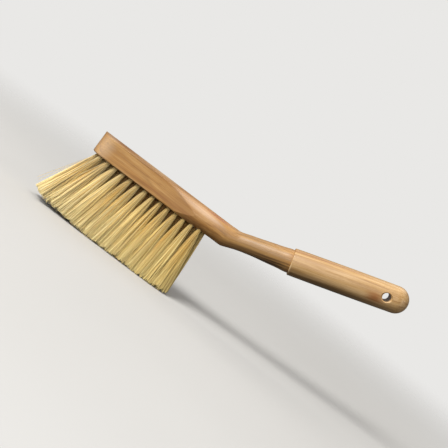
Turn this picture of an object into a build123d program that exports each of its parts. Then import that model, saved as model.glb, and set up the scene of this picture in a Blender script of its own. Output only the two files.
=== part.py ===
from build123d import *

import os
from math import cos, pi, radians, sin, sqrt, tan

# Hand broom. One piece of laminated bamboo makes the drilled head and the cranked neck.
# A thicker turned grip butts against the end of the neck, and a dowel inside joins the two.
# Each tuft of bristle is folded round a flat steel anchor at the bottom of its own blind hole.
# +X runs from the toe to the grip, +Y across, +Z up. The trimmed tips stand on z = 0, and the
# origin is the middle of the base of the whole broom's box. All lengths are in millimetres.

# Head
head_length = 150.0  # toe to the start of the bend
head_width = 27.0
head_height = 21.8  # at the crown
crown_drop = 2.2  # how far the crowned top falls from the middle to the flat sides
crown_axis_height = 8.5  # height of the crowned body's widest line above the sole
sole_edge_round = 1.4
trim_height = 68.0  # sole to the plane that the tips are trimmed on

# Flare, where the flat-sided bar runs out into the rounded neck
flare_start = 70.0  # from the toe
neck_root_height = 22.1  # section at the start of the bend
neck_root_width = 21.6
flare_width_shares = (1, 0.97, 0.76, 0.48, 0.31, 0.225, 0.18, 0.14, 0.095, 0.045, 0)
flare_height_shares = (1, 1, 1, 1, 0.98, 0.87, 0.62, 0.35, 0.16, 0.05, 0)

# Bend and neck
bend_length = 11.0
waist_height = 18.2
waist_width = 19.6
waist_axis_height = 13.4  # above the sole
waist_length = 14.0
waist_inset = 3.0  # how far the waist's upper line lies inside the grip's
neck_length = 55.0  # waist's start to the end that meets the grip
neck_end_diameter = 22.8
neck_steps = 6
handle_angle = 17.0  # degrees that the grip rises from the head's line

# Grip
grip_length = 118.0
grip_diameter = 26.6
grip_swell = 0.5  # how much the middle is thicker than the ends
grip_front_round = 0.9
hang_hole_diameter = 8.6
hang_hole_from_end = 23.0
hang_hole_rim = 0.8  # depth of the countersink at the hole's tightest edge

# Dowel inside the joint of neck and grip
dowel_diameter = 10.0
dowel_length = 50.0
dowel_end_chamfer = 1.0
dowel_clearance = 0.1

# Tufts
tuft_hole_diameter = 4.5
tuft_hole_depth = 13.0
tuft_clearance = 0.05
tuft_collar = 0.8  # how far the packed root shows below the sole
row_offset = 8.5  # outer rows from the middle row
row_inset = 6.0  # least distance from an outer hole's middle to the body's widest line
first_tuft = 7.0  # middle row's first hole from the toe
tuft_pitch = 8.85
middle_row_count = 15
lean_toe = 24.0  # degrees that the first tufts lean forward
lean_heel = 0.5
lean_toe_share = 0.35  # share of the lean that only the toe's tufts have
lean_toe_power = 6
side_lean = 4.0  # degrees that the outer rows lean out
bristle_length = 70.0  # longest bristle, before the tips are trimmed
strands_per_tuft = 10
strand_root_width = 0.85
strand_tip_width = 1.75
strand_root_radius = 1.5  # the outermost strand's place in the root
fan_along_share = 0.36  # outermost strand's place at the tips, as a share of the tufts' spacing
fan_across_share = 0.34
golden_angle = 137.508

# Anchors
anchor_width = 5.1
anchor_height = 2.4
anchor_thickness = 0.4
anchor_fold = 1.2  # bristle between the anchor and the bottom of the hole
anchor_clearance = 0.03

overrun = 5.0  # how far a cutting shape runs past what it cuts
quarter_turn = 90.0

# Places that follow from the sizes
sole = trim_height
half_head = head_width / 2
grip_radius = grip_diameter / 2
handle_direction = Vector(cos(radians(handle_angle)), 0, sin(radians(handle_angle)))
handle_normal = Vector(-sin(radians(handle_angle)), 0, cos(radians(handle_angle)))
waist_lift = grip_radius - waist_inset - waist_height / 2  # above the grip's axis
waist_centre = Vector(head_length + bend_length, 0, sole + waist_axis_height)
joint = waist_centre - handle_normal * waist_lift + handle_direction * neck_length
handle_plane = Plane(origin=joint, x_dir=(0, 1, 0), z_dir=handle_direction)

# The crowned body's section is an ellipse that is widest inside the flat sides
crown_half_height = head_height - crown_axis_height
crown_half_width = half_head / sqrt(1 - (1 - crown_drop / crown_half_height) ** 2)


def between(start, end, share):
    """Value at this share of the way from start to end."""
    return start + (end - start) * share


def body_half_sizes(x):
    """Half width and half height of the rounded body at x, from the toe to the bend."""
    steps = len(flare_width_shares) - 1
    place = max(0, (x - flare_start) / (head_length - flare_start)) * steps
    step = min(int(place), steps - 1)
    sizes = []
    for shares, neck, crown in (
        (flare_width_shares, neck_root_width / 2, crown_half_width),
        (flare_height_shares, neck_root_height / 2, crown_half_height),
    ):
        sizes.append(between(neck, crown, between(shares[step], shares[step + 1], place - step)))
    return sizes


def oval(centre, direction, half_width, half_height):
    """Elliptical section across the body, facing along it."""
    return Plane(origin=centre, x_dir=(0, 1, 0), z_dir=direction) * Ellipse(half_width, half_height)


def rounded_body():
    """Crowned head, flare, bend and neck as one smooth body, before its sides are cut flat."""
    sections = []
    steps = len(flare_width_shares) - 1
    for i in range(steps + 1):
        x = between(flare_start, head_length, i / steps)
        half_width, half_height = body_half_sizes(x)
        centre = (x, 0, sole + head_height - half_height)
        sections.append(oval(centre, (1, 0, 0), half_width, half_height))

    root = Vector(head_length, 0, sole + head_height - neck_root_height / 2)
    bend_half = radians(handle_angle) / 2
    bend_direction = (cos(bend_half), 0, sin(bend_half))
    bend_width, bend_height = neck_root_width + waist_width, neck_root_height + waist_height
    sections.append(oval((root + waist_centre) / 2, bend_direction, bend_width / 4, bend_height / 4))

    for i in range(neck_steps + 1):
        along = neck_length * i / neck_steps
        taper = max(0, (along - waist_length) / (neck_length - waist_length))
        half_width = between(waist_width, neck_end_diameter, taper) / 2
        half_height = between(waist_height, neck_end_diameter, taper) / 2
        lift = between(waist_lift, 0, taper)
        centre = joint + handle_direction * (along - neck_length) + handle_normal * lift
        sections.append(oval(centre, handle_direction, half_width, half_height))

    crown = oval(
        (-overrun, 0, sole + crown_axis_height), (1, 0, 0), crown_half_width, crown_half_height
    )
    return extrude(crown, flare_start + overrun) + loft(sections)


def plan_block():
    """Round-toed block with an eased sole, whose sides and sole cut the rounded body flat."""
    far = joint.X + overrun + neck_end_diameter
    outline = [
        Line((half_head, -half_head), (far, -half_head)),
        Line((far, -half_head), (far, half_head)),
        Line((far, half_head), (half_head, half_head)),
        ThreePointArc((half_head, half_head), (0, 0), (half_head, -half_head)),
    ]
    height = joint.Z + neck_end_diameter - sole
    solid = extrude(Plane.XY.offset(sole) * make_face(Curve() + outline), height)
    rim = solid.faces().sort_by(Axis.Z)[0].edges()
    return fillet([edge for edge in rim if edge.center().X < far - overrun], sole_edge_round)


def head_and_neck_blank():
    """Head and neck before drilling."""
    return rounded_body() & plan_block()


def tuft_places():
    """Row, number, place on the sole, forward lean and spacing at the tips of each tuft."""
    last = first_tuft + tuft_pitch * (middle_row_count - 1)

    def lean(x):
        share = (last - x) / (last - first_tuft)
        mix = between(share, share**lean_toe_power, lean_toe_share)
        return between(lean_heel, lean_toe, mix)

    def tip_spacing(x):
        before, after = x - tuft_pitch / 2, x + tuft_pitch / 2
        swing = tan(radians(lean(max(before, first_tuft)))) - tan(radians(lean(min(after, last))))
        return tuft_pitch + trim_height * swing

    rows = []
    for row, count, start in (
        ("middle", middle_row_count, first_tuft),
        ("outer", middle_row_count - 1, first_tuft + tuft_pitch / 2),
    ):
        for i in range(count):
            x = start + tuft_pitch * i
            rows.append((row, i + 1, x, lean(x), tip_spacing(x)))
    return rows


def outer_offset(x):
    """How far the outer rows lie from the middle: they draw in where the body narrows."""
    half_width, _ = body_half_sizes(x)
    return min(row_offset, half_width - row_inset)


def strand(root_place, tip_place, turn):
    """One four-sided bristle bundle, from inside the collar to past the trimming plane."""
    ends = []
    for place, width, drop in (
        (root_place, strand_root_width, tuft_collar / 2),
        (tip_place, strand_tip_width, bristle_length),
    ):
        ends.append(Pos(*place, -drop) * Rot(0, 0, turn) * Rectangle(width, width))
    return loft(ends, ruled=True)


def tuft(along, across):
    """A tuft at the origin, hanging down: packed root, and strands that fan out to the tips."""
    root_radius = tuft_hole_diameter / 2 - tuft_clearance
    root = Pos(0, 0, -tuft_collar) * Cylinder(
        root_radius,
        tuft_hole_depth + tuft_collar,
        align=(Align.CENTER, Align.CENTER, Align.MIN),
    )
    strands = []
    for i in range(strands_per_tuft):
        reach = sqrt((i + 1 / 2) / strands_per_tuft)
        turn = golden_angle * i
        share_x, share_y = cos(radians(turn)) * reach, sin(radians(turn)) * reach
        root_place = (strand_root_radius * share_x, strand_root_radius * share_y)
        strands.append(strand(root_place, (along * share_x, across * share_y), turn))
    return (root + strands) - anchor(anchor_clearance)


def anchor(clearance=0):
    """Flat steel anchor that the tuft is folded round; with a clearance it is the slot for it."""
    middle = tuft_hole_depth - anchor_fold - anchor_height / 2
    room = 2 * clearance
    slot = Box(anchor_thickness + room, anchor_width + room, anchor_height + room)
    return Pos(0, 0, middle) * slot


def tuft_hole():
    """Flat-bottomed blind hole, with the anchor's bite in its walls."""
    hole = Pos(0, 0, -overrun) * Cylinder(
        tuft_hole_diameter / 2,
        tuft_hole_depth + overrun,
        align=(Align.CENTER, Align.CENTER, Align.MIN),
    )
    return hole + anchor(anchor_clearance)


def dowel(clearance=0):
    """Round pin across the joint, with eased ends; with a clearance it is the bore for the pin."""
    pin = Cylinder(dowel_diameter / 2 + clearance, dowel_length + 2 * clearance)
    ends = pin.edges().filter_by(GeomType.CIRCLE)
    return handle_plane.location * chamfer(ends, dowel_end_chamfer)


def grip():
    """Turned grip with a slight swell, a round end, a hanging hole and a blind bore in front."""
    length = grip_length
    front = (grip_radius - grip_front_round, 0)
    shoulder = (grip_radius, grip_front_round)
    tail = (grip_radius, length - grip_radius)
    middle = (grip_radius + grip_swell / 2, (shoulder[1] + tail[1]) / 2)
    bevel = grip_radius * sin(pi / 4)
    round_front = (front[0] + grip_front_round * sin(pi / 4), grip_front_round * (1 - cos(pi / 4)))
    outline = [
        Line((0, 0), front),
        ThreePointArc(front, round_front, shoulder),
        ThreePointArc(shoulder, middle, tail),
        ThreePointArc(tail, (bevel, length - grip_radius + bevel), (0, length)),
        Line((0, length), (0, 0)),
    ]
    body = handle_plane.location * revolve(Plane.XZ * make_face(Curve() + outline), Axis.Z)
    return body - hang_hole() - dowel(dowel_clearance)


def hang_hole_land():
    """Half length of the hanging hole's straight wall, between its two countersinks."""
    return sqrt(grip_radius**2 - (hang_hole_diameter / 2) ** 2) - hang_hole_rim


def hang_hole():
    """Cross hole near the grip's end, countersunk on both sides."""
    radius = hang_hole_diameter / 2
    land = hang_hole_land()
    outside = grip_radius + overrun
    wide = radius + outside - land
    outline = Polyline(
        (0, -outside),
        (wide, -outside),
        (radius, -land),
        (radius, land),
        (wide, outside),
        (0, outside),
        close=True,
    )
    tool = revolve(Plane.XZ * make_face(outline), Axis.Z)
    place = Pos(0, 0, grip_length - hang_hole_from_end)
    return handle_plane.location * place * Rot(0, quarter_turn, 0) * tool


def build():
    """Every piece by its name, in the frame with the toe at x = 0."""
    pieces, anchors, holes = {}, [], []
    for row, number, x, lean, spacing in tuft_places():
        y = 0 if row == "middle" else outer_offset(x)
        outward = 0 if row == "middle" else side_lean
        tip_rows = outer_offset(x) + trim_height * tan(radians(side_lean))
        place = Pos(x, -y, sole) * Rot(-outward, 0, 0) * Rot(0, lean, 0)
        hanging = place * tuft(spacing * fan_along_share, tip_rows * fan_across_share)
        trimmed = split(hanging, Plane.XY, keep=Keep.TOP)
        side = "middle" if row == "middle" else "near"
        pieces[f"tuft_{side}_{number:02d}"] = trimmed
        anchors.append(place * anchor())
        holes.append(place * tuft_hole())
        if row == "outer":
            pieces[f"tuft_far_{number:02d}"] = mirror(trimmed, Plane.XZ)
            anchors.append(mirror(anchors[-1], Plane.XZ))
            holes.append(mirror(holes[-1], Plane.XZ))
    pieces["head_and_neck"] = head_and_neck_blank() - holes - dowel(dowel_clearance)
    pieces["grip"] = grip()
    pieces["joint_dowel"] = dowel()
    pieces["tuft_anchors"] = Compound(children=anchors)
    return pieces


pieces = build()
boxes = [piece.bounding_box() for piece in pieces.values()]
middle_x = (min(box.min.X for box in boxes) + max(box.max.X for box in boxes)) / 2
os.makedirs("parts", exist_ok=True)
for name, piece in pieces.items():
    export_step(Pos(-middle_x, 0, 0) * piece, f"parts/{name}.step")

hang_hole_centre = joint + handle_direction * (grip_length - hang_hole_from_end)
tufts = sum(1 for name in pieces if name.startswith("tuft_") and name != "tuft_anchors")
print("toe at x", round(-middle_x, 3))
print("hanging hole at", round(hang_hole_centre.X - middle_x, 3), 0, round(hang_hole_centre.Z, 3))
print("its wall's length", round(2 * hang_hole_land(), 3))
print("strands", strands_per_tuft * tufts)
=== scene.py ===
import random
from math import cos, pi, radians, sin, tan

import bpy
from mathutils import Matrix, Vector


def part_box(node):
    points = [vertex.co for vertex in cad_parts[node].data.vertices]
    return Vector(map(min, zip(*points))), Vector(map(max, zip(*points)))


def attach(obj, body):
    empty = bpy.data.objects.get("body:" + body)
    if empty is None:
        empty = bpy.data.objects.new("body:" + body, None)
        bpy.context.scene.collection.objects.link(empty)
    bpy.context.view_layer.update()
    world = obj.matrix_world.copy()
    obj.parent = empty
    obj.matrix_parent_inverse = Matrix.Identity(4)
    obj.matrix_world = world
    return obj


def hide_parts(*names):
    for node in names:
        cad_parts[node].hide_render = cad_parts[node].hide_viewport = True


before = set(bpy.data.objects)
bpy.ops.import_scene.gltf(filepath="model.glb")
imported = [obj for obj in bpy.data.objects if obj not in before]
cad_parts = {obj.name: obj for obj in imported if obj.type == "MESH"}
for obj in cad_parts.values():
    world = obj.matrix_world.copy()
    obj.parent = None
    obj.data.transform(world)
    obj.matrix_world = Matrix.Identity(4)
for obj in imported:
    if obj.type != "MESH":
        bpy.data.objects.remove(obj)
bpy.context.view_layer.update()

# Hand broom in bamboo with cream bristle. Metres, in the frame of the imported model:
# +X from the toe to the grip, +Y across, +Z up, with the tips of the bristle on z = 0.

MM = 0.001
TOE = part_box("head_and_neck")[0].x
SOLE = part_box("head_and_neck")[0].z
BEND = TOE + 152 * MM  # where the neck turns up into the handle
BEND_HEIGHT = SOLE + 11 * MM
BEND_BLEND = 12 * MM  # before and behind the bend, the stretch in which the grain turns
HANDLE_ANGLE = radians(17)
SEAM_FROM_BEND = 64.3  # millimetres
AXIS_UNDER_BEND = 1.5  # millimetres

# Tufts
MIDDLE_ROW_COUNT = 15
ROWS = (  # tufts, pitches that the first one stands back, and the row's sides with their signs
    (MIDDLE_ROW_COUNT, 0, (("middle", 0),)),
    (MIDDLE_ROW_COUNT - 1, 0.5, (("near", -1), ("far", 1))),
)
FIRST_TUFT = 7 * MM
TUFT_PITCH = 8.85 * MM
ROW_LENGTH = TUFT_PITCH * (MIDDLE_ROW_COUNT - 1)
ROW_OFFSET = 8.5 * MM
SIDE_LEAN = radians(4.0)
LEAN_TOE = 24.0  # degrees
LEAN_HEEL = 0.5
LEAN_TOE_SHARE = 0.35  # of the lean that belongs to the toe's first tufts alone
LEAN_TOE_POWER = 6
BRISTLE_LENGTH = 70 * MM
TOE_TRIM = 2.6 * MM
TOE_TRIM_TUFTS = 5
HOLE_RIM_DEPTH = 0.1 * MM
TIP_ROW_OFFSET = ROW_OFFSET + SOLE * tan(SIDE_LEAN)
SEED = 11

# Single bristles
BRISTLES_PER_TUFT = 240
BRISTLE_RADIUS = 0.25 * MM
BRISTLE_SIDES = 3
BRISTLE_STEPS = 5
BRISTLE_START = 1.5 * MM  # inside the hole
THICKNESS_SPREAD = (0.7, 1.45)
TAPER_SHARE = 0.15
BRISTLE_BOW = 1.0 * MM
BOW_SPREAD = 0.5
ROOT_RADIUS = 1.6 * MM
RIM_POWER = 0.36  # below 0.5 it draws the bristles towards the rim of the tuft
GOLDEN_TURN = 2.39996
SCATTER_SHARE = 0.035
CLUMPS_PER_TUFT = 38
CLUMP_TURN_SPREAD = (-0.5, 0.5)
CLUMP_PULL_SHARE = 0.24
CLUMP_PULL_SPREAD = (0.4, 1.6)
SPLAY_POWER = 0.92
TOE_SPLAY_POWER = 1.3
FAN_ALONG_SHARE = 0.8
FAN_END_SHARES = {  # of the first tuft towards the toe and of the last one towards the heel
    "middle": (0.38, 0.8),
    "near": (0.46, 1.15),
    "far": (0.46, 1.15),
}
FAN_ACROSS_SHARE = 0.56
TIP_RAGGED = 2.2 * MM
CLUMP_RAGGED = 3.0 * MM
LENGTH_POWER = 2  # above 1 it leaves few bristles short
TRIM_POWER = 1.5
STRAYS = ((-27.4, -3, 15.5), (-25.2, -2, 14))  # millimetres: tips from the toe, across and up
STRAY_BOW = 0.4 * MM

# Grain of the bamboo: scale along and across, detail, roughness and offset of each noise
GRAIN_NOISES = {
    "streak": ((8, 330, 330), 3, 0.6, (0, 0, 0)),
    "vein": ((9, 520, 520), 1, 0.5, (7, 3, 9)),
    "fibre": ((30, 1500, 1500), 2, 0.6, (0, 0, 0)),
    "dash": ((130, 1900, 1900), 1, 0.5, (3, 1, 2)),
    "broad": ((12, 90, 90), 2, 0.5, (5, 5, 5)),
}
NOISE_MIDDLE = (0.5, 0.5, 0.5)
WAVE_SCALE = (14, 45, 45)
WAVE_REACH = (0, 4 * MM, 4 * MM)
TONE_WEIGHTS = (("streak", 0.5), ("fibre", 0.25), ("broad", 0.25))
TONE_STOPS = (0.36, 0.48, 0.62)
DEEP_MARKS = (("vein", 0.6, 0.74, 0.6), ("dash", 0.62, 0.74, 0.4))  # from, to, strength
RELIEF_WEIGHTS = (("fibre", 0.7), ("dash", 0.3))
RELIEF_STRENGTH = 0.05
RELIEF_DEPTH = 0.2 * MM
LAYER_SEAM = 0.3 * MM
LAYER_SEAM_STRENGTH = 0.5
LAYER_SEAM_STREAKS = (0.35, 0.6)
MARK_FADE = (0.2, 1.1)  # of the way from a mark's centre to its rim
MARK_STREAKS = (0.2, 0.8, -0.35, 0.35)
GLOSS_FIBRES = (0.3, 0.7)
GLOSS_SPREAD = (-0.05, 0.07)
VARNISH = {"Coat Weight": 0.7, "Coat Roughness": 0.36, "Specular IOR Level": 0.3}
THROUGH = 40  # millimetres, more than the wood is wide


def on_head(along, across, up):
    """Place on the head, in millimetres from the toe, the middle and the sole."""
    return (TOE + along * MM, across * MM, SOLE + up * MM)


def on_handle(along, across, up):
    """Place on the handle before it is bent, in millimetres from the seam and the axis."""
    along += SEAM_FROM_BEND
    return (BEND + along * MM, across * MM, BEND_HEIGHT + (up - AXIS_UNDER_BEND) * MM)


# Layers: axis, thickness, first seam and spread of the tone
HEAD_LAYERS = ((2, 7.2 * MM, SOLE + 4.3 * MM, 0.05), (1, 6.75 * MM, -13.5 * MM, 0.04))
GRIP_LAYERS = ((2, 9 * MM, SOLE, 0.03),)

# Tones: dark, middle, light and the deep one of the veins
HEAD_TONES = ("#8A5E2C", "#A9793E", "#BD9359", "#724621")
GRIP_TONES = ("#976F40", "#B58F5B", "#CAA87A", "#83562C")
DOWEL_TONES = ("#B98F5A", "#D3AE78", "#E0C294", "#9A6F3E")

# Stains, streaks, painted highlights and painted shade: centre, half sizes in millimetres,
# strength and colour
HEAD_MARKS_AND_PAINTED_LIGHT = (
    (on_head(44, 0, 19.5), (42, THROUGH, 1.7), 0.75, "#7E5628"),  # below the top edge
    (on_head(20, 0, 21.8), (24, THROUGH, 1.9), 0.7, "#80522A"),
    (on_head(64, 0, 21.6), (30, THROUGH, 1.3), 0.35, "#E8CBA2"),  # painted highlight along the top edge
    (on_head(44, -13.5, 0.8), (40, 3, 0.9), 0.25, "#DDBA92"),  # painted highlight on the lower edges
    (on_head(44, 13.5, 0.8), (40, 3, 0.9), 0.25, "#DDBA92"),
    (on_head(66, 0, -1.2), (90, THROUGH, 2), 0.8, "#4A2E16"),  # sole, between the holes
    (on_head(70, 0, 4.6), (30, THROUGH, 1.1), 0.6, "#84502A"),
    (on_head(134, 0, 20.6), (18, THROUGH, 1.8), 0.85, "#93532A"),  # top of the neck
    (on_head(117, -13, 16.8), (34, 9, 5), 0.46, "#E8CDB2"),  # painted highlight on the sides of the flare
    (on_head(117, 13, 16.8), (34, 9, 5), 0.46, "#E8CDB2"),
    (on_head(116, 0, 2), (20, THROUGH, 6), 0.6, "#6E4424"),  # painted shade on the underside of the flare
    # dark grain streak along the neck
    (on_handle(-36, 0, -2.8), (30, THROUGH, 1.5), 0.75, "#744622"),
    # painted shade over the flare
    (on_head(104, 0, 8), (40, THROUGH, 11), 0.6, "#8E6236"),
    (on_head(9, 0, 10), (12, THROUGH, 20), 0.22, "#E6D8C0"),  # pale end grain of the round toe, with a painted highlight
    (on_handle(-32, 0, 0), (50, THROUGH, 22), 0.6, "#93744A"),  # greyer neck
    (on_handle(-17, 0, -3), (24, THROUGH, 1.2), 0.8, "#5E4022"),  # dark streaks before the seam
    (on_handle(-15, 0, -5.6), (22, THROUGH, 1.3), 0.95, "#4E341A"),
    (on_handle(-22, 0, -8), (28, THROUGH, 1.3), 0.9, "#4E341A"),
)
GRIP_MARKS_AND_PAINTED_LIGHT = (
    (on_handle(0.2, -8, -8), (1.4, 14, 13), 0.75, "#EFD0A0"),  # painted highlight on the front edge
    (on_handle(84, -12, -4.6), (13, 9, 7), 0.85, "#94592A"),  # brown spot at the hole
    (on_handle(30, -6, 12), (60, 12, 0.9), 0.5, "#9A6236"),
    (on_handle(18, -12, 1), (24, 9, 1.4), 0.45, "#9A6A38"),
    # painted shade that dims the upper band of the grip
    (on_handle(22, 0, 6), (42, THROUGH, 5), 0.75, "#9E7646"),
    (on_handle(45, 0, -13), (75, THROUGH, 8), 0.8, "#6E5230"),  # painted shade on the underside
)
GRIP_GRAIN_OFFSET = (0.3, 0.02, 0.01)
DOWEL_GRAIN_OFFSET = (0.6, 0, 0)
HEAD_ROUGHNESS = 0.4
GRIP_ROUGHNESS = 0.38
DOWEL_ROUGHNESS = 0.55

# Bristle: tones of the single ones, and tints along them with their strengths: painted light
# towards the tips, painted shade near the head, inside and towards the heel
BRISTLE_TONES = (
    (0, "#C9983F"),
    (0.14, "#E8BE66"),
    (0.36, "#FBDF94"),
    (0.75, "#FFEDAC"),
    (1, "#FFF5CC"),
)
# Paler towards the tips: the fibres' own pale ends, and painted light that grows towards the
# tips.
TIP_TINT = "#FFF3BC"
TIP_RANGE = (0, SOLE - 20 * MM, 0.95, 0)
# Painted shade, darker and greyer towards the head.
BASE_SHADE_TINT = "#B8A276"
BASE_SHADE_RANGE = (SOLE - 30 * MM, SOLE - 4 * MM, 0, 0.62)
ROOT_SHADE_TINT = "#B5874D"  # painted shade, only inside, and neither at the toe nor at the heel
ROOT_SHADE_RANGE = (SOLE - 20 * MM, SOLE - 5 * MM, 0, 0.8)
INSIDE_RANGE = (3 * MM, 6 * MM, 1, 0)
TOE_RANGE = (TOE + 16 * MM, TOE + 50 * MM, 0, 1)
HEEL_RANGE = (TOE + 118 * MM, TOE + 126 * MM, 1, 0)
# More golden and darker towards the heel: partly the fibres' own tone, partly painted shade.
GOLDEN_AND_SHADE_TINT = "#EBE2C4"
GOLDEN_AND_SHADE_RANGE = (TOE, TOE + 120 * MM, 0.2, 1)
BRISTLE_GLOSS = {"Roughness": 0.5, "Specular IOR Level": 0.25}
GLOW = "#F6B850"
GLOW_SHARE = 0.15
OUTWARD_RANGE = (-6 * MM, 6 * MM, -1, 1)
OUTWARD_ALONG = -0.1
OUTWARD_UP = 0.25
OWN_NORMAL_WEIGHT = 2

# Steel of the anchors
STEEL_SCALE = (400, 6000, 400)
STEEL_TONES = ((0.3, "#8C8C8C"), (0.7, "#B5B5B5"))
STEEL_ROUGHNESS = (0.3, 0.7, 0.3, 0.42)

# Camera: the photograph shows the broom from its side, a little from above, rolled by 37 degrees
PHOTO_PIXELS = 448
PIXEL = 0.95 * MM
CAMERA_DISTANCE = 1.0
CAMERA_ELEVATION = radians(4.5)
CAMERA_ROLL = radians(37)
AIM = Vector((TOE + 141.7 * MM, 0, SOLE + 18.4 * MM))
SENSOR = 36

# Stage
WORLD_SEEN = "#E9E8E6"
WORLD_LIGHT = "#F7F5F2"
WORLD_LIGHT_STRENGTH = 0.18
FLOOR_HALF_SIZE = 3.0
FLOOR_DROP = 0.2 * MM
FLOOR_FADE = (0.25, 1.1)  # from the middle
FLOOR_TONES = ((0.3, "#C0BFBD"), (0.7, "#C4C3C1"))
FLOOR_ROUGHNESS = 0.8
FLOOR_BOUNCE = "#464442"  # what it gives back to the broom
LIGHTS = (  # name, place, aim, size, watts and colour
    ("key", (-1.4, -1.6, 2.15), (0, 0, 0.1), (1.2, 1.2), 86, (1.0, 0.985, 0.955)),
    ("top", (-0.5, -0.65, 2.5), (0, 0, 0.1), (2.4, 0.8), 8, (1.0, 0.98, 0.97)),
    ("toe", (-2.1, -1.1, 1.0), (0, 0, 0.1), (1.2, 1.2), 30, (1.0, 1.0, 1.0)),
    ("heel", (2.2, -1.2, 0.9), (0, 0, 0.1), (1.2, 1.2), 7, (1.0, 1.0, 1.0)),
    ("fill", (-0.3, -2.4, 0.8), (0, 0, 0.06), (1.6, 1.2), 15, (1.0, 0.99, 0.98)),
    ("back", (0.3, 1.2, 2.4), (0, 0, 0.08), (2.4, 1.6), 16, (1.0, 0.96, 0.9)),
)


def srgb(text):
    """Linear colour of a hex colour."""
    values = [int(text[i : i + 2], 16) / 255 for i in (1, 3, 5)]
    linear = [v / 12.92 if v <= 0.04045 else ((v + 0.055) / 1.055) ** 2.4 for v in values]
    return (*linear, 1)


class Shader:
    """The nodes of a material or world, with a short call for each kind of node."""

    def __init__(self, owner, output="OutputMaterial"):
        self.owner = owner
        owner.use_nodes = True
        self.tree = owner.node_tree
        self.tree.nodes.clear()
        self.output = self.node(output)

    def node(self, kind, inputs=None, **settings):
        made = self.tree.nodes.new("ShaderNode" + kind)
        for key, value in settings.items():
            setattr(made, key, value)
        for key, value in (inputs or {}).items():
            self.set(made.inputs[key], value)
        return made

    def set(self, socket, value):
        """Links an output to a socket or gives it a value, a colour as its hex text."""
        if isinstance(value, bpy.types.NodeSocket):
            self.tree.links.new(value, socket)
        else:
            socket.default_value = srgb(value) if isinstance(value, str) else value

    def math(self, operation, a, b=0.0):
        return self.node("Math", {0: a, 1: b}, operation=operation).outputs[0]

    def vector_math(self, operation, *values):
        made = self.node("VectorMath", dict(enumerate(values)), operation=operation)
        return made.outputs["Value" if operation == "LENGTH" else "Vector"]

    def noise(self, vector, scale, detail=2.0, roughness=0.5, output="Fac"):
        inputs = {"Vector": vector, "Scale": scale, "Detail": detail, "Roughness": roughness}
        return self.node("TexNoise", inputs).outputs[output]

    def stretch(self, vector, scale, offset=(0, 0, 0)):
        inputs = {"Vector": vector, "Scale": scale, "Location": offset}
        return self.node("Mapping", inputs).outputs[0]

    def range(self, value, low, high, to_low=0.0, to_high=1.0, smooth=False):
        inputs = {"Value": value, 1: low, 2: high, 3: to_low, 4: to_high}
        kind = "SMOOTHSTEP" if smooth else "LINEAR"
        return self.node("MapRange", inputs, clamp=True, interpolation_type=kind).outputs[0]

    def ramp(self, value, stops):
        made = self.node("ValToRGB", {0: value})
        points = made.color_ramp.elements
        while len(points) < len(stops):
            points.new(0.5)
        for point, (place, colour) in zip(points, stops):
            point.position = place
            point.color = srgb(colour)
        return made.outputs[0]

    def mix(self, share, a, b, kind="MIX"):
        inputs = {0: share, 6: a, 7: b}
        return self.node("Mix", inputs, data_type="RGBA", blend_type=kind).outputs[2]

    def weigh(self, values, weights):
        """Sum of the named values, each times its weight."""
        total, *rest = [self.math("MULTIPLY", values[name], weight) for name, weight in weights]
        for part in rest:
            total = self.math("ADD", total, part)
        return total

    def place(self):
        return self.node("TexCoord").outputs["Object"]

    def split(self, vector):
        return self.node("SeparateXYZ", {0: vector}).outputs

    def camera_ray(self):
        return self.node("LightPath").outputs["Is Camera Ray"]

    def mix_surfaces(self, share, a, b):
        inputs = {0: share, 1: a.outputs[0], 2: b.outputs[0]}
        return self.node("MixShader", inputs)

    def finish(self, surface):
        self.set(self.output.inputs["Surface"], surface.outputs[0])
        return self.owner


def new_material(name):
    return Shader(bpy.data.materials.new(name))


def grain_place(shader):
    """Place along the grain, which turns with the neck, and across it, slightly wavy."""
    place = shader.place()
    x = shader.split(place)[0]
    turn = shader.range(x, BEND - BEND_BLEND, BEND + BEND_BLEND, 0, HANDLE_ANGLE, smooth=True)
    inputs = {"Vector": place, "Center": (BEND, 0, BEND_HEIGHT), "Angle": turn}
    straight = shader.node("VectorRotate", inputs, rotation_type="Y_AXIS").outputs[0]
    wave = shader.noise(shader.stretch(straight, WAVE_SCALE), 1, 1, output="Color")
    wave = shader.vector_math("SUBTRACT", wave, NOISE_MIDDLE)
    wave = shader.vector_math("MULTIPLY", wave, WAVE_REACH)
    return shader.vector_math("ADD", straight, wave)


def laminate(shader, colour, place, layers, streak, dark):
    """Gives each layer of the wood its own shade, with a thin darker seam between them."""
    parts = shader.split(place)
    for axis, pitch, first, depth in layers:
        level = shader.math("DIVIDE", shader.math("SUBTRACT", parts[axis], first), pitch)
        cell = shader.math("FLOOR", level)
        shade = shader.node("TexWhiteNoise", {"W": cell}, noise_dimensions="1D").outputs["Value"]
        factor = shader.range(shade, 0, 1, 1 - depth, 1 + depth)
        grey = shader.node("CombineColor", {0: factor, 1: factor, 2: factor}).outputs[0]
        colour = shader.mix(1, colour, grey, "MULTIPLY")
        edge = shader.math("PINGPONG", level, 0.5)
        seam = shader.range(edge, 0, LAYER_SEAM / pitch, LAYER_SEAM_STRENGTH, 0, smooth=True)
        seam = shader.math("MULTIPLY", seam, shader.range(streak, *LAYER_SEAM_STREAKS))
        colour = shader.mix(seam, colour, dark)
    return colour


def lay_marks(shader, colour, place, marks_and_painted_light, streak):
    """Lays each mark over the wood, broken up along the grain: stained spots and streaks, painted
    highlights and painted shade.
    """
    for centre, size, strength, tone in marks_and_painted_light:
        away = shader.vector_math("SUBTRACT", place, centre)
        away = shader.vector_math("MULTIPLY", away, tuple(1 / (s * MM) for s in size))
        far = shader.vector_math("LENGTH", away)
        far = shader.math("ADD", far, shader.range(streak, *MARK_STREAKS))
        share = shader.range(far, *MARK_FADE, strength, 0, smooth=True)
        colour = shader.mix(share, colour, tone)
    return colour


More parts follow.
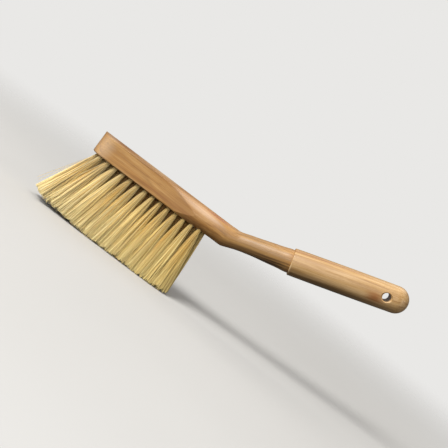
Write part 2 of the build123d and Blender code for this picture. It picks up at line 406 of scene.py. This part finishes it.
def bamboo(name, tones, offset, layers, marks_and_painted_light, roughness):
    """Varnished bamboo: layers, long streaks, veins, fine fibres, short dashes, stained spots,
    painted highlights and painted shade.
    """
    shader = new_material(name)
    place = grain_place(shader)
    grain = shader.stretch(place, (1, 1, 1), offset)
    noises = {}
    for kind, (scale, detail, noise_roughness, shift) in GRAIN_NOISES.items():
        stretched = shader.stretch(grain, scale, shift)
        noises[kind] = shader.noise(stretched, 1, detail, noise_roughness)
    dark, deep = tones[0], tones[3]

    tone = shader.weigh(noises, TONE_WEIGHTS)
    colour = shader.ramp(tone, tuple(zip(TONE_STOPS, tones)))
    colour = laminate(shader, colour, place, layers, noises["streak"], dark)
    for kind, low, high, strength in DEEP_MARKS:
        colour = shader.mix(shader.range(noises[kind], low, high, 0, strength), colour, deep)
    colour = lay_marks(shader, colour, place, marks_and_painted_light, noises["streak"])

    height = shader.weigh(noises, RELIEF_WEIGHTS)
    inputs = {"Height": height, "Strength": RELIEF_STRENGTH, "Distance": RELIEF_DEPTH}
    bump = shader.node("Bump", inputs).outputs[0]
    rough = [roughness + part for part in GLOSS_SPREAD]
    rough = shader.range(noises["fibre"], *GLOSS_FIBRES, *rough)
    inputs = {"Base Color": colour, "Roughness": rough, "Normal": bump, **VARNISH}
    return shader.finish(shader.node("BsdfPrincipled", inputs))


def tuft_normal(shader, across):
    """A bristle's normal, turned a little outwards, so that the tuft shades as one body too."""
    side = shader.range(across, *OUTWARD_RANGE)
    outward = shader.node("CombineXYZ", {0: OUTWARD_ALONG, 1: side, 2: OUTWARD_UP}).outputs[0]
    kinds = {"vector_type": "NORMAL", "convert_from": "OBJECT", "convert_to": "WORLD"}
    outward = shader.node("VectorTransform", {0: outward}, **kinds).outputs[0]
    own = shader.node("NewGeometry").outputs["Normal"]
    own = shader.vector_math("MULTIPLY", own, (OWN_NORMAL_WEIGHT,) * 3)
    return shader.vector_math("NORMALIZE", shader.vector_math("ADD", own, outward))


def bristle_material():
    """Cream bristle: each one its own tone, with painted light towards the tips and painted shade
    at the root, inside and towards the heel.
    """
    shader = new_material("cream_bristle")
    along, across, up = shader.split(shader.place())
    own = shader.node("NewGeometry").outputs["Random Per Island"]
    colour = shader.ramp(own, BRISTLE_TONES)
    # painted light towards the tips
    colour = shader.mix(shader.range(up, *TIP_RANGE), colour, TIP_TINT)
    # painted shade near the head
    colour = shader.mix(shader.range(up, *BASE_SHADE_RANGE, smooth=True), colour, BASE_SHADE_TINT)
    # painted shade on the inner tufts near the head
    root_shade = shader.range(up, *ROOT_SHADE_RANGE, smooth=True)
    away = shader.math("ABSOLUTE", across)
    for value, limits in ((away, INSIDE_RANGE), (along, TOE_RANGE), (along, HEEL_RANGE)):
        root_shade = shader.math("MULTIPLY", root_shade, shader.range(value, *limits, smooth=True))
    colour = shader.mix(root_shade, colour, ROOT_SHADE_TINT)
    # more golden, with painted shade, towards the heel
    golden_and_shade = shader.range(along, *GOLDEN_AND_SHADE_RANGE)
    colour = shader.mix(golden_and_shade, colour, GOLDEN_AND_SHADE_TINT, "MULTIPLY")
    inputs = {"Base Color": colour, "Normal": tuft_normal(shader, across), **BRISTLE_GLOSS}
    principled = shader.node("BsdfPrincipled", inputs)
    glow = shader.node("BsdfTranslucent", {"Color": GLOW})
    return shader.finish(shader.mix_surfaces(GLOW_SHARE, principled, glow))


def steel_material():
    """Drawn steel wire, for the anchors in the holes."""
    shader = new_material("anchor_steel")
    lines = shader.noise(shader.stretch(shader.place(), STEEL_SCALE), 1)
    rough = shader.range(lines, *STEEL_ROUGHNESS)
    inputs = {"Base Color": shader.ramp(lines, STEEL_TONES), "Roughness": rough, "Metallic": 1.0}
    return shader.finish(shader.node("BsdfPrincipled", inputs))


def dress(node, material):
    """Gives a CAD node its material."""
    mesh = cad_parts[node].data
    mesh.materials.clear()
    mesh.materials.append(material)


def lean_at(x):
    """Degrees that a tuft at this place from the toe leans forward."""
    share = 1 - (x - FIRST_TUFT) / ROW_LENGTH
    mix = (1 - LEAN_TOE_SHARE) * share + LEAN_TOE_SHARE * share**LEAN_TOE_POWER
    return LEAN_HEEL + (LEAN_TOE - LEAN_HEEL) * mix


def tip_spacing(x):
    """Distance between neighbouring tufts of a row at the level of the tips."""
    before = max(x - TUFT_PITCH / 2, FIRST_TUFT)
    after = min(x + TUFT_PITCH / 2, FIRST_TUFT + ROW_LENGTH)
    return TUFT_PITCH + SOLE * (tan(radians(lean_at(before))) - tan(radians(lean_at(after))))


def outer_row(node, sign):
    """How far an outer tuft's hole lies from the middle, read from the top of its packed root."""
    places = [vertex.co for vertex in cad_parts[node].data.vertices]
    top = max(v.z for v in places)
    ring = [v for v in places if SOLE - HOLE_RIM_DEPTH < v.z < top]
    middle = sum((v.y for v in ring), 0) / len(ring)
    height = sum((v.z for v in ring), 0) / len(ring) - SOLE
    return middle + sign * height * tan(SIDE_LEAN)


def strand(vertices, faces, root, tip, splay, power, bow, thick, spin):
    """Adds one bristle as a slim prism from its root to its tip."""
    first = len(vertices)
    along = (tip - root).normalized()
    side = along.cross(Vector((0, 1, 0))).normalized()
    other = along.cross(side)
    for step in range(BRISTLE_STEPS + 1):
        s = step / BRISTLE_STEPS
        centre = root.lerp(tip, s) + splay * (s**power - s) + bow * sin(pi * s)
        radius = thick * (1 - TAPER_SHARE * s)
        for k in range(BRISTLE_SIDES):
            angle = spin + 2 * pi * k / BRISTLE_SIDES
            vertices.append(centre + (side * cos(angle) + other * sin(angle)) * radius)
    for step in range(BRISTLE_STEPS):
        for k in range(BRISTLE_SIDES):
            a = first + step * BRISTLE_SIDES + k
            b = first + step * BRISTLE_SIDES + (k + 1) % BRISTLE_SIDES
            faces.append((a, b, b + BRISTLE_SIDES, a + BRISTLE_SIDES))
    end = first + BRISTLE_STEPS * BRISTLE_SIDES
    faces.append(tuple(end + k for k in range(BRISTLE_SIDES)))
    faces.append(tuple(first + k for k in reversed(range(BRISTLE_SIDES))))


def disc_spot(share, turn):
    """A place in the tuft's round section, whose radius is 1."""
    reach = share**RIM_POWER
    return Vector((cos(turn) * reach, sin(turn) * reach))


def tuft_mesh(name, place, length, fans, power, strays, rng):
    """One tuft of single bristles, in clumps, fanned from its hole and trimmed at the tips."""
    clumps = []
    for i in range(CLUMPS_PER_TUFT):
        turn = GOLDEN_TURN * i + rng.uniform(*CLUMP_TURN_SPREAD)
        spot = disc_spot((i + 0.5) / CLUMPS_PER_TUFT, turn)
        clumps.append((spot, rng.random() ** LENGTH_POWER * CLUMP_RAGGED))
    vertices, faces = [], []
    for i in range(BRISTLES_PER_TUFT):
        spot = disc_spot((i + rng.random()) / BRISTLES_PER_TUFT, GOLDEN_TURN * i)
        nearest, cut = min(clumps, key=lambda clump: (clump[0] - spot).length)
        spread = spot.lerp(nearest, CLUMP_PULL_SHARE * rng.uniform(*CLUMP_PULL_SPREAD))
        spread += Vector((rng.gauss(0, SCATTER_SHARE), rng.gauss(0, SCATTER_SHARE)))
        root = place @ Vector((spot.x * ROOT_RADIUS, spot.y * ROOT_RADIUS, BRISTLE_START))
        drop = length - rng.random() ** LENGTH_POWER * TIP_RAGGED - cut
        thick = BRISTLE_RADIUS * rng.uniform(*THICKNESS_SPREAD)
        fan = fans[0] if spread.x < 0 else fans[1]
        across = spread.y * TIP_ROW_OFFSET * FAN_ACROSS_SHARE
        tip = place @ Vector((spread.x * fan, across, -drop))
        trim = rng.random() ** TRIM_POWER * TIP_RAGGED + cut
        if tip.z < trim:
            tip = root.lerp(tip, (root.z - trim) / (root.z - tip.z))
        splay = tip - root - (place.to_3x3() @ Vector((0, 0, -1))) * (tip - root).length
        bow = Vector((rng.gauss(0, BOW_SPREAD), rng.gauss(0, BOW_SPREAD), 0)) * BRISTLE_BOW
        spin = rng.uniform(0, 2 * pi)
        strand(vertices, faces, root, tip, splay, power, bow, thick, spin)
    for along, across, up in strays:
        root = place @ Vector((0, 0, BRISTLE_START))
        tip = Vector((TOE + along * MM, across * MM, up * MM))
        bow = Vector((0, 0, STRAY_BOW))
        strand(vertices, faces, root, tip, Vector(), 1, bow, BRISTLE_RADIUS, 0)
    mesh = bpy.data.meshes.new(name)
    mesh.from_pydata([tuple(v) for v in vertices], [], faces)
    mesh.validate()
    return mesh


def add(mesh, material, node):
    """A finished piece, riding with the broom in place of the named CAD node."""
    piece = bpy.data.objects.new(mesh.name, mesh)
    bpy.context.scene.collection.objects.link(piece)
    piece.data.materials.append(material)
    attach(piece, "root")
    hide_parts(node)


def tuft_place(node, x, sign):
    """Where a tuft's hole opens and how the tuft leans."""
    return (
        Matrix.Translation((TOE + x, outer_row(node, sign) if sign else 0, SOLE))
        @ Matrix.Rotation(sign * SIDE_LEAN, 4, "X")
        @ Matrix.Rotation(radians(lean_at(x)), 4, "Y")
    )


def tuft_fans(side, i, count, x):
    """How far a tuft fans out at its tips, towards the toe and towards the heel."""
    toe, heel = FAN_END_SHARES[side]
    spacing = tip_spacing(x)
    return (
        spacing * (toe if i == 0 else FAN_ALONG_SHARE),
        spacing * (heel if i == count - 1 else FAN_ALONG_SHARE),
    )


def make_tufts(material):
    rng = random.Random(SEED)
    for count, start, sides in ROWS:
        for i in range(count):
            x = FIRST_TUFT + TUFT_PITCH * (i + start)
            length = BRISTLE_LENGTH - TOE_TRIM * max(0, 1 - (i / TOE_TRIM_TUFTS) ** 2)
            power = TOE_SPLAY_POWER if i == 0 else SPLAY_POWER
            for side, sign in sides:
                node = f"tuft_{side}_{i + 1:02d}"
                name = f"bristles_{side}_{i + 1:02d}"
                place = tuft_place(node, x, sign)
                fans = tuft_fans(side, i, count, x)
                strays = STRAYS if side == "middle" and i == 0 else ()
                mesh = tuft_mesh(name, place, length, fans, power, strays, rng)
                add(mesh, material, node)


def make_camera():
    forward = Vector((0, cos(CAMERA_ELEVATION), -sin(CAMERA_ELEVATION)))
    level = Vector((1, 0, 0))
    upright = level.cross(forward)
    right = level * cos(CAMERA_ROLL) + upright * sin(CAMERA_ROLL)
    up = upright * cos(CAMERA_ROLL) - level * sin(CAMERA_ROLL)
    data = bpy.data.cameras.new("photo_camera")
    data.sensor_width = SENSOR
    data.lens = SENSOR * CAMERA_DISTANCE / (PHOTO_PIXELS * PIXEL)
    camera = bpy.data.objects.new("photo_camera", data)
    turn = Matrix((right, up, -forward)).transposed().to_4x4()
    camera.matrix_world = Matrix.Translation(AIM - forward * CAMERA_DISTANCE) @ turn
    bpy.context.scene.collection.objects.link(camera)
    bpy.context.scene.camera = camera


def make_world():
    """Pale where it is seen, and a weak light from all sides."""
    world = Shader(bpy.data.worlds.new("pale_world"), "OutputWorld")
    seen = world.node("Background", {"Color": WORLD_SEEN, "Strength": 1.0})
    light = world.node("Background", {"Color": WORLD_LIGHT, "Strength": WORLD_LIGHT_STRENGTH})
    bpy.context.scene.world = world.finish(world.mix_surfaces(world.camera_ray(), light, seen))


def make_floor():
    """Pale floor that runs out into the equally pale world."""
    corners = ((-1, -1), (1, -1), (1, 1), (-1, 1))
    corners = [(x * FLOOR_HALF_SIZE, y * FLOOR_HALF_SIZE, 0) for x, y in corners]
    mesh = bpy.data.meshes.new("floor")
    mesh.from_pydata(corners, [], [(0, 1, 2, 3)])
    floor = bpy.data.objects.new("floor", mesh)
    floor.location = (0, 0, -FLOOR_DROP)
    bpy.context.scene.collection.objects.link(floor)
    shader = new_material("pale_floor")
    place = shader.place()
    colour = shader.ramp(shader.noise(place, 3), FLOOR_TONES)
    colour = shader.mix(shader.camera_ray(), FLOOR_BOUNCE, colour)
    surface = shader.node("BsdfPrincipled", {"Base Color": colour, "Roughness": FLOOR_ROUGHNESS})
    fade = shader.range(shader.vector_math("LENGTH", place), *FLOOR_FADE, smooth=True)
    both = shader.mix_surfaces(fade, surface, shader.node("BsdfTransparent"))
    floor.data.materials.append(shader.finish(both))


def area_light(name, place, aim, size, power, colour):
    data = bpy.data.lights.new(name, "AREA")
    data.shape = "RECTANGLE"
    data.size, data.size_y = size
    data.energy = power
    data.color = colour
    lamp = bpy.data.objects.new(name, data)
    lamp.location = place
    lamp.rotation_euler = (Vector(aim) - Vector(place)).to_track_quat("-Z", "Y").to_euler()
    bpy.context.scene.collection.objects.link(lamp)


head_wood = bamboo(
    "bamboo_head", HEAD_TONES, (0, 0, 0), HEAD_LAYERS, HEAD_MARKS_AND_PAINTED_LIGHT, HEAD_ROUGHNESS
)
grip_wood = bamboo(
    "bamboo_grip", GRIP_TONES, GRIP_GRAIN_OFFSET, GRIP_LAYERS, GRIP_MARKS_AND_PAINTED_LIGHT, GRIP_ROUGHNESS
)
dowel_wood = bamboo("bamboo_dowel", DOWEL_TONES, DOWEL_GRAIN_OFFSET, (), (), DOWEL_ROUGHNESS)
dress("head_and_neck", head_wood)
dress("grip", grip_wood)
dress("joint_dowel", dowel_wood)
dress("tuft_anchors", steel_material())
make_tufts(bristle_material())

make_world()
make_floor()
make_camera()
for light in LIGHTS:
    area_light(*light)
bpy.context.scene.view_settings.view_transform = "Standard"
